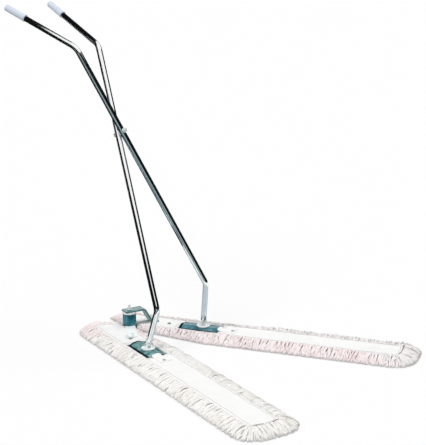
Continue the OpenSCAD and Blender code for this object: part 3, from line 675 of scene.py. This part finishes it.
def cover_grid():
    """Rows along and columns across the cover, as places lengthways and shares of its width.

    Also the first and last row and column of the cut-out."""
    us = np.unique(np.concatenate([
        U_TAIL + EDGE_STEPS, U_OPEN - EDGE_STEPS, np.linspace(-POST_R, POST_R, 15),
        np.linspace(U_TAIL + EDGE_ZONE, OPEN_A, 34), np.linspace(OPEN_A, OPEN_B, 20),
        np.linspace(OPEN_B, U_OPEN - EDGE_ZONE, 84),
    ]).round(6))
    low = (V_MID - OPEN_HALF - V_IN) / (V_OUT - V_IN)
    fs = np.unique(np.concatenate([
        np.linspace(0, low, 4), np.linspace(low, 1 - low, 13), np.linspace(1 - low, 1, 4),
    ]).round(6))
    rows = np.flatnonzero((us >= OPEN_A - SAME) & (us <= OPEN_B + SAME))
    columns = np.flatnonzero((fs >= low - SAME) & (fs <= 1 - low + SAME))
    return us, fs, (rows[0], rows[-1], columns[0], columns[-1])


def loop_normals(loop):
    """Level directions outwards from a closed loop of points."""
    tangent = (np.roll(loop, -1, axis=0) - np.roll(loop, 1, axis=0))[:, :2]
    tangent /= np.linalg.norm(tangent, axis=1, keepdims=True) + TINY
    return np.stack([tangent[:, 1], -tangent[:, 0], np.zeros(len(loop))], axis=-1)


def add_loop(pts, loop):
    """A sheet's points with a loop of new ones, and the new points' numbers."""
    return np.concatenate([pts, loop]), list(range(len(pts), len(pts) + len(loop)))


def cover(side):
    us, fs, (i0, i1, j0, j1) = cover_grid()
    n_u, n_v = len(us), len(fs)
    lo, hi = v_range(us, 0.0)
    u = np.repeat(us[:, None], n_v, axis=1)
    v = lo[:, None] + (hi - lo)[:, None] * fs[None, :]
    u = u + bow(u, v)
    pts = np.stack([u, v, cloth_height(u, v)], axis=-1).reshape(-1, 3)
    faces = [q for q in grid_faces(n_u, n_v) if not (i0 <= q[0] // n_v < i1 and j0 <= q[0] % n_v < j1)]

    hole = [(i, j0) for i in range(i0, i1)] + [(i1, j) for j in range(j0, j1)]
    hole += [(i, j1) for i in range(i1, i0, -1)] + [(i0, j) for j in range(j1, j0, -1)]
    inward = np.array([((i == i0) * 1.0 - (i == i1), (j == j0) * 1.0 - (j == j1), 0) for i, j in hole])
    last = [i * n_v + j for i, j in hole]
    rim = pts[last]
    for inset, drop in LIP:
        pts, new = add_loop(pts, rim + inward * inset - (0, 0, drop))
        faces += [(last[k - 1], last[k], new[k], new[k - 1]) for k in range(len(new))]
        last = new

    last = grid_ring(n_u, n_v)
    rim = pts[last]
    outward = loop_normals(rim)
    for out, drop in SKIRT:
        pts, new = add_loop(pts, rim + outward * out - (0, 0, drop))
        faces += [(last[k - 1], new[k - 1], new[k], last[k]) for k in range(len(new))]
        last = new

    own_side(pts, CANVAS_MARGIN)
    obj = add_piece(side, "canvas", place(side, pts), outwards(side, faces), MAT["canvas"], pts[:, :2])
    thicken(obj)
    return obj


BAND_T, BAND_SUNK = 0.0010, 0.0001
BINDING_INSET, BINDING_W = 0.0065, 0.013
HEM_GROW, HEM_W = 0.0055, 0.010
BAND_PROFILE = [(-0.5, 0.0), (-0.46, 0.75), (-0.3, 1.0), (0.3, 1.0), (0.46, 0.75), (0.5, 0.0)]


def strip(side, part, line, width):
    """A flat sewn band along a closed line of (u, v, outward u, outward v), laid on the canvas."""
    line = np.asarray(line)
    rows = []
    for across, height in BAND_PROFILE:
        u = line[:, 0] + line[:, 2] * across * width
        v = line[:, 1] + line[:, 3] * across * width
        rows.append(np.stack([u, v, cloth_height(u, v) + height * BAND_T - BAND_SUNK], axis=-1))
    pts = np.stack(rows, axis=1).reshape(-1, 3)
    n, m = len(line), len(BAND_PROFILE)
    faces = []
    for i in range(n):
        after = (i + 1) % n
        faces += [(i * m + j, i * m + j + 1, after * m + j + 1, after * m + j) for j in range(m - 1)]
    faces = outwards(side, faces)
    return add_piece(side, part, place(side, pts), faces, MAT["canvas"], pts[:, :2])


STITCH, STITCH_GAP, STITCH_LIFT, THREAD_R = 0.0036, 0.0016, 0.0009, 0.0005
STITCH_TAPER = np.array([0.55, 0.9, 1.0, 0.9, 0.55])
EDGE_SEAM, OPENING_SEAM = 0.0105, 0.0085


def stitches(line):
    """Paths and radii of short thread capsules at even distances along a closed line of points."""
    line = np.asarray(line)
    closed = np.concatenate([line, line[:1]])
    steps = np.linalg.norm(np.diff(closed[:, :2], axis=0), axis=1)
    dist = np.concatenate([[0], np.cumsum(steps)])
    total = dist[-1]
    count = int(total / (STITCH + STITCH_GAP))
    t = np.linspace(-0.5, 0.5, len(STITCH_TAPER))
    paths = []
    for middle in (np.arange(count) + 0.5) * total / count:
        d = (middle + t * STITCH) % total
        u = np.interp(d, dist, closed[:, 0])
        v = np.interp(d, dist, closed[:, 1])
        z = cloth_height(u, v) + STITCH_LIFT + THREAD_R * 0.9 * np.cos(t * math.pi)
        paths.append(np.stack([u, v, z], axis=-1))
    return np.array(paths), np.tile(THREAD_R * STITCH_TAPER, (count, 1))


def stitching(side):
    sets = [stitches(edge_line(EDGE_SEAM)), stitches(opening_line(OPENING_SEAM))]
    paths, radii = (np.concatenate(part) for part in zip(*sets))
    verts, faces, uv = tubes(place(side, paths), radii)
    return add_piece(side, "stitching", verts, faces, MAT["thread"], uv)


BY_POST, POST_SLACK = 0.05, 0.0003


def edge_line(inset, step=0.003):
    """Points and outward directions along the cover's edge, moved in from it; none inside the post's hollow."""
    count = int(EDGE_LEN / step)
    out = []
    for i in range(count):
        u, v, a = on_edge(i * EDGE_LEN / count)
        u, v = u - inset * math.cos(a), v - inset * math.sin(a)
        if abs(u) > BY_POST or v > v_range(np.array([u]), inset)[0][0] - POST_SLACK:
            out.append((u, v, math.cos(a), math.sin(a)))
    return out


OPENING_R, OPENING_STEP = 0.003, 0.006


def opening_line(grow):
    """Points and outward directions along a rounded rectangle round the saddle's cut-out."""
    u0, u1 = OPEN_A - grow, OPEN_B + grow
    v0, v1 = V_MID - OPEN_HALF - grow, V_MID + OPEN_HALF + grow
    r = OPENING_R + grow
    corners = []
    for cu, cv, a0 in ((u1 - r, v1 - r, 0), (u0 + r, v1 - r, 90), (u0 + r, v0 + r, 180), (u1 - r, v0 + r, 270)):
        for a in np.radians(np.linspace(a0, a0 + 90, 5)):
            corners.append((cu + r * math.cos(a), cv + r * math.sin(a), math.cos(a), math.sin(a)))
    dense = []
    for p, q in zip(corners, corners[1:] + corners[:1]):
        k = max(1, int(math.dist(p[:2], q[:2]) / OPENING_STEP))
        dense += [tuple(a + (b - a) * i / k for a, b in zip(p, q)) for i in range(k)]
    return dense


CORD_INSET, CORD_STEP, CORD_SIDES = 0.0008, 0.004, 6
CORD_LIFT, CORD_LIFT_OPEN = 0.0002, 0.0022
CORD_R, CORD_R_OPEN, CORD_R_FAR_SHADE = 0.0009, 0.0017, 0.0004


def piping(side):
    """A dark cord sewn on the cover's edge, thickest at the open end; along the far side it is made thicker, and
    that extra dark width is painted shade in the gap between the cover's edge and the fringe.
    """
    line = np.array(edge_line(CORD_INSET, CORD_STEP))
    u, v, du, dv = np.concatenate([line, line[:1]]).T
    far = np.maximum(0, SIDES[side] * dv)
    open_end = np.maximum(0, du) ** 2
    z = cloth_height(u, v) + CORD_LIFT + CORD_LIFT_OPEN * open_end
    # The far side's extra width paints the shade in the gap at the cover's edge.
    radii = CORD_R + CORD_R_OPEN * open_end + CORD_R_FAR_SHADE * far
    path = np.stack([u, v, z], axis=-1)
    verts, faces, uv = tubes(place(side, path[None]), radii[None], CORD_SIDES)
    return add_piece(side, "piping", verts, faces, MAT["thread"], uv)


FLAP_ROWS, FLAP_COLUMNS = 25, 17
FLAP_TIP, FLAP_ROOT = SADDLE_B - 0.0045, SADDLE_B + 0.058
FLAP_HALF, FLAP_WIDER, FLAP_SKEW = 0.015, 0.007, 0.006
FLAP_RAMP, RIPPLE, RIPPLE_REACH = 0.022, 0.0005, 0.02
ON_PLATE, ON_CANVAS = 0.0016, 0.0014


def flap(side):
    """A tongue of canvas from the cover up onto the saddle's end, under the press stud."""
    across = np.linspace(-1, 1, FLAP_COLUMNS)
    along = np.linspace(0, 1, FLAP_ROWS)[:, None]
    tip = FLAP_TIP + 0.0035 * np.abs(across) ** 4 + 0.0012 * np.sin(5 * across + 1)
    u = tip + (FLAP_ROOT - tip) * along
    v = V_MID - FLAP_SKEW * SIDES[side] * (1 - along) + (FLAP_HALF + FLAP_WIDER * along) * across
    arch = CROWN_Z - ARCH_R + np.sqrt(ARCH_R ** 2 - (v - V_MID) ** 2)
    down = np.clip((u - SADDLE_B) / FLAP_RAMP, 0, 1)
    down = down * down * (3 - 2 * down)
    ripple = np.sin(9 * across + 60 * u) * np.clip((SADDLE_B + RIPPLE_REACH - u) / RIPPLE_REACH, 0, 1)
    z = (arch + ON_PLATE) * (1 - down) + (cloth_height(u, v) + ON_CANVAS) * down + np.abs(RIPPLE * ripple)
    pts = np.stack([u, v, z], axis=-1).reshape(-1, 3)
    faces = outwards(side, grid_faces(FLAP_ROWS, FLAP_COLUMNS))
    obj = add_piece(side, "flap", place(side, pts), faces, MAT["canvas"], pts[:, :2])
    thicken(obj)
    return obj


def dress(side):
    """The soft pieces of one mop."""
    strands = fringe(side)
    pad = sole(side)
    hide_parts(f"{side}_yarn")
    sheet = cover(side)
    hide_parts(f"{side}_cover")
    binding = strip(side, "binding", edge_line(BINDING_INSET), BINDING_W)
    hem = strip(side, "opening_hem", opening_line(HEM_GROW), HEM_W)
    seam = stitching(side)
    piping(side)
    flap(side)


# Stage: pale floor, white surroundings, soft lamps, and cards that only reflections see, which paint the
# reflections on the chrome and enamel; the coloured ones glow

def camera_like(nt):
    """1 for camera, glossy and transmission rays."""
    rays = nt.nodes.new("ShaderNodeLightPath").outputs
    seen = math_node(nt, "MAXIMUM", rays["Is Camera Ray"], rays["Is Glossy Ray"])
    return math_node(nt, "MAXIMUM", seen, rays["Is Transmission Ray"])


def stage_mesh(name, verts, faces, material):
    mesh = bpy.data.meshes.new(name)
    mesh.from_pydata(verts, [], faces)
    mesh.materials.append(material)
    obj = bpy.data.objects.new(name, mesh)
    bpy.context.collection.objects.link(obj)
    return obj


FLOOR_HALF, FLOOR_GREY, FLOOR_GLOW = 14.0, 0.42, 0.535
WORLD_LIGHT, WHITE = 0.50, (1, 1, 1, 1)


def make_floor():
    """A grey floor that keeps the shadow and is seen as white."""
    s = FLOOR_HALF
    m, nt, bsdf = new_material("floor_white")
    grey = (FLOOR_GREY, FLOOR_GREY, FLOOR_GREY, 1)
    set_inputs(bsdf, {"Base Color": grey, "Roughness": 0.9, "Specular IOR Level": 0.0, "Emission Color": WHITE})
    nt.links.new(math_node(nt, "MULTIPLY", camera_like(nt), FLOOR_GLOW), bsdf.inputs["Emission Strength"])
    stage_mesh("floor", [(-s, -s, 0), (s, -s, 0), (s, s, 0), (-s, s, 0)], [(0, 1, 2, 3)], m)


def make_world():
    """White to the camera and in reflections, and a plain soft light on the object."""
    w = bpy.data.worlds.new("studio")
    bpy.context.scene.world = w
    w.use_nodes = True
    nt = w.node_tree
    background = nt.nodes["Background"]
    set_inputs(background, {"Color": WHITE})
    extra = math_node(nt, "MULTIPLY", camera_like(nt), 1 - WORLD_LIGHT)
    strength = math_node(nt, "ADD", extra, WORLD_LIGHT)
    nt.links.new(strength, background.inputs["Strength"])


def soft_sun(name, towards, strength, spread_deg):
    data = bpy.data.lights.new(name, "SUN")
    data.energy = strength
    data.angle = math.radians(spread_deg)
    obj = bpy.data.objects.new(name, data)
    obj.rotation_mode = "QUATERNION"
    obj.rotation_quaternion = (-Vector(towards)).to_track_quat("-Z", "Y")
    obj.visible_glossy = False
    bpy.context.collection.objects.link(obj)


def card(name, verts, faces, colour):
    """A studio card that only reflections see: it glows in its colour and paints that colour, or black, into the
    reflections.
    """
    m, _, bsdf = new_material(name)
    set_inputs(bsdf, {"Base Color": (0, 0, 0, 1), "Specular IOR Level": 0.0, "Emission Color": (*colour, 1),
                      "Emission Strength": 1.0})
    obj = stage_mesh(name, verts, faces, m)
    obj.visible_camera = False
    obj.visible_diffuse = False
    obj.visible_shadow = False
    obj.visible_transmission = False


FACE_DEGREES = 4


def ring_card(name, r, a0, a1, z0, z1, colour, centre=(0.0, 0.0)):
    """An upright card that follows a circle between two angles, in degrees."""
    n = max(2, int((a1 - a0) / FACE_DEGREES))
    verts = []
    for a in (math.radians(a0 + (a1 - a0) * i / n) for i in range(n + 1)):
        x, y = centre[0] + r * math.cos(a), centre[1] + r * math.sin(a)
        verts += [(x, y, z0), (x, y, z1)]
    faces = [(2 * i, 2 * i + 2, 2 * i + 3, 2 * i + 1) for i in range(n)]
    card(name, verts, faces, colour)


def rectangle(x0, x1, y0, y1, z):
    return [(x0, y0, z), (x1, y0, z), (x1, y1, z), (x0, y1, z)]


def level_card(name, x0, x1, y0, y1, z, colour):
    """A level card; x is measured from the hinge."""
    card(name, rectangle(HINGE_X + x0, HINGE_X + x1, y0, y1, z), [(0, 1, 2, 3)], colour)


# Card colours: the teal, slate and pale ones glow and paint coloured reflections, and black paints dark ones.
BLACK, TEAL_GLOW, SLATE_GLOW, PALE_GLOW = (0.006, 0.007, 0.008), (0.035, 0.085, 0.115), (0.20, 0.29, 0.31), (0.38, 0.50, 0.50)
WALL_R, WALL_FOOT = 5.5, 0.02
LEG_MAT_Z, MAT_Z = 0.0275, 0.003


def make_reflection_walls():
    """Dark walls round the set, with a banded stretch at the right, and low ones by the front leg and post: cards
    that paint dark and glowing coloured reflections into the chrome and enamel.
    """
    for name, a0, a1, top in (
        ("wall_right", -25, 30, 4.85), ("wall_corner", 30, 70, 5.2), ("wall_far", 70, 114, 3.9),
        ("wall_low", 114, 146, 1.0), ("wall_dip", 146, 178, 2.2), ("wall_left", 178, 215, 3.9),
        ("wall_gap", 215, 250, 2.9), ("wall_near", 250, 280, 3.9),
    ):
        ring_card(name, WALL_R, a0, a1, WALL_FOOT, top, BLACK)
    for name, foot, top, colour in (
        ("wall_teal_glow", WALL_FOOT, 0.5, TEAL_GLOW), ("wall_pale_glow", 0.5, 1.3, PALE_GLOW),
        ("wall_slate_glow", 1.3, 2.1, SLATE_GLOW), ("wall_upper", 2.1, 3.9, BLACK),
    ):
        ring_card(name, WALL_R, -80, -25, foot, top, colour)
    ring_card("leg_dark_reflection", 0.4, 160, 250, 0.012, 0.125, BLACK, (HINGE_X + 0.225, -0.13))
    ring_card("post_shade", 0.034, -61, 239, 0.021, 0.066, BLACK, (HINGE_X, 0.0))


def make_reflection_corner():
    """A dark wall and ceiling by the grips, cards that paint dark reflections into the tubes there."""
    x0, x1, y, foot, top = HINGE_X - 3.2, HINGE_X - 0.57, -1.35, 1.3, 4.2
    card("wall_side", [(x0, y, foot), (x1, y, foot), (x1, y, top), (x0, y, top)], [(0, 1, 2, 3)], BLACK)
    level_card("ceiling", -3.2, -0.52, y, 3.2, 3.0, BLACK)


def make_reflection_mats():
    """Pale mats round the legs' feet, which leave the left saddle plate free, and dark mats farther out: cards
    that paint pale, glowing and dark reflections into the legs and tubes.
    """
    for name, u0, u1, v0, v1, colour in (
        ("leg_mat_near_glow", -0.15, 0.55, -0.24, 0.020, (0.50, 0.59, 0.62)),
        ("leg_mat_left_glow", -0.15, 0.165, 0.020, 0.105, (0.42, 0.50, 0.50)),
        ("leg_mat_right_glow", 0.320, 0.55, 0.020, 0.105, (0.58, 0.64, 0.70)),
        ("leg_mat_far_glow", -0.15, 0.55, 0.105, 0.33, (0.48, 0.58, 0.58)),
    ):
        placed = place("left", rectangle(u0, u1, v0, v1, LEG_MAT_Z))
        card(name, [tuple(p) for p in placed], [(0, 1, 2, 3)], colour)
    level_card("leg_mat_front_glow", 0.27, 0.40, -0.60, -0.20, LEG_MAT_Z, (0.64, 0.74, 0.74))
    level_card("near_mat_glow", -0.85, 2.2, -4.6, -1.05, MAT_Z, TEAL_GLOW)
    level_card("side_mat_glow", -0.85, -0.21, -1.05, 0.4, MAT_Z, TEAL_GLOW)
    level_card("mat", -4.3, -0.85, -4.5, 1.0, MAT_Z, BLACK)


SENSOR, FOCAL_PIXELS, IMAGE_HEIGHT = 36, 1204.42, 445
CAMERA_AT = (2.7689 + HINGE_X, -2.8771, 1.4347)
CAMERA_YAW, CAMERA_PITCH, CAMERA_ROLL = 129.68, 14.72, -0.45


def make_camera():
    """The camera, fitted to the photo: its place, its three angles and its focal length in pixels."""
    data = bpy.data.cameras.new("camera")
    cam = bpy.data.objects.new("camera", data)
    bpy.context.collection.objects.link(cam)
    bpy.context.scene.camera = cam
    yaw, pitch, roll = (math.radians(a) for a in (CAMERA_YAW, CAMERA_PITCH, CAMERA_ROLL))
    forward = Vector((math.cos(yaw) * math.cos(pitch), math.sin(yaw) * math.cos(pitch), -math.sin(pitch)))
    level = Vector((math.sin(yaw), -math.cos(yaw), 0))
    above = level.cross(forward)
    right = level * math.cos(roll) + above * math.sin(roll)
    up = above * math.cos(roll) - level * math.sin(roll)
    cam.matrix_world = Matrix((
        (right.x, up.x, -forward.x, CAMERA_AT[0]),
        (right.y, up.y, -forward.y, CAMERA_AT[1]),
        (right.z, up.z, -forward.z, CAMERA_AT[2]),
        (0, 0, 0, 1),
    ))
    data.sensor_width = SENSOR
    data.lens = SENSOR * FOCAL_PIXELS / IMAGE_HEIGHT


paint_nodes()
for side in SIDES:
    dress(side)
make_floor()
make_world()
make_reflection_walls()
make_reflection_corner()
make_reflection_mats()
soft_sun("key", (-0.08, -0.845, 1.1), 1.33, 30)
soft_sun("fill", (0.27, 0.61, 1.2), 0.93, 40)
make_camera()
bpy.context.scene.view_settings.view_transform = "Standard"

bpy.context.view_layer.update()
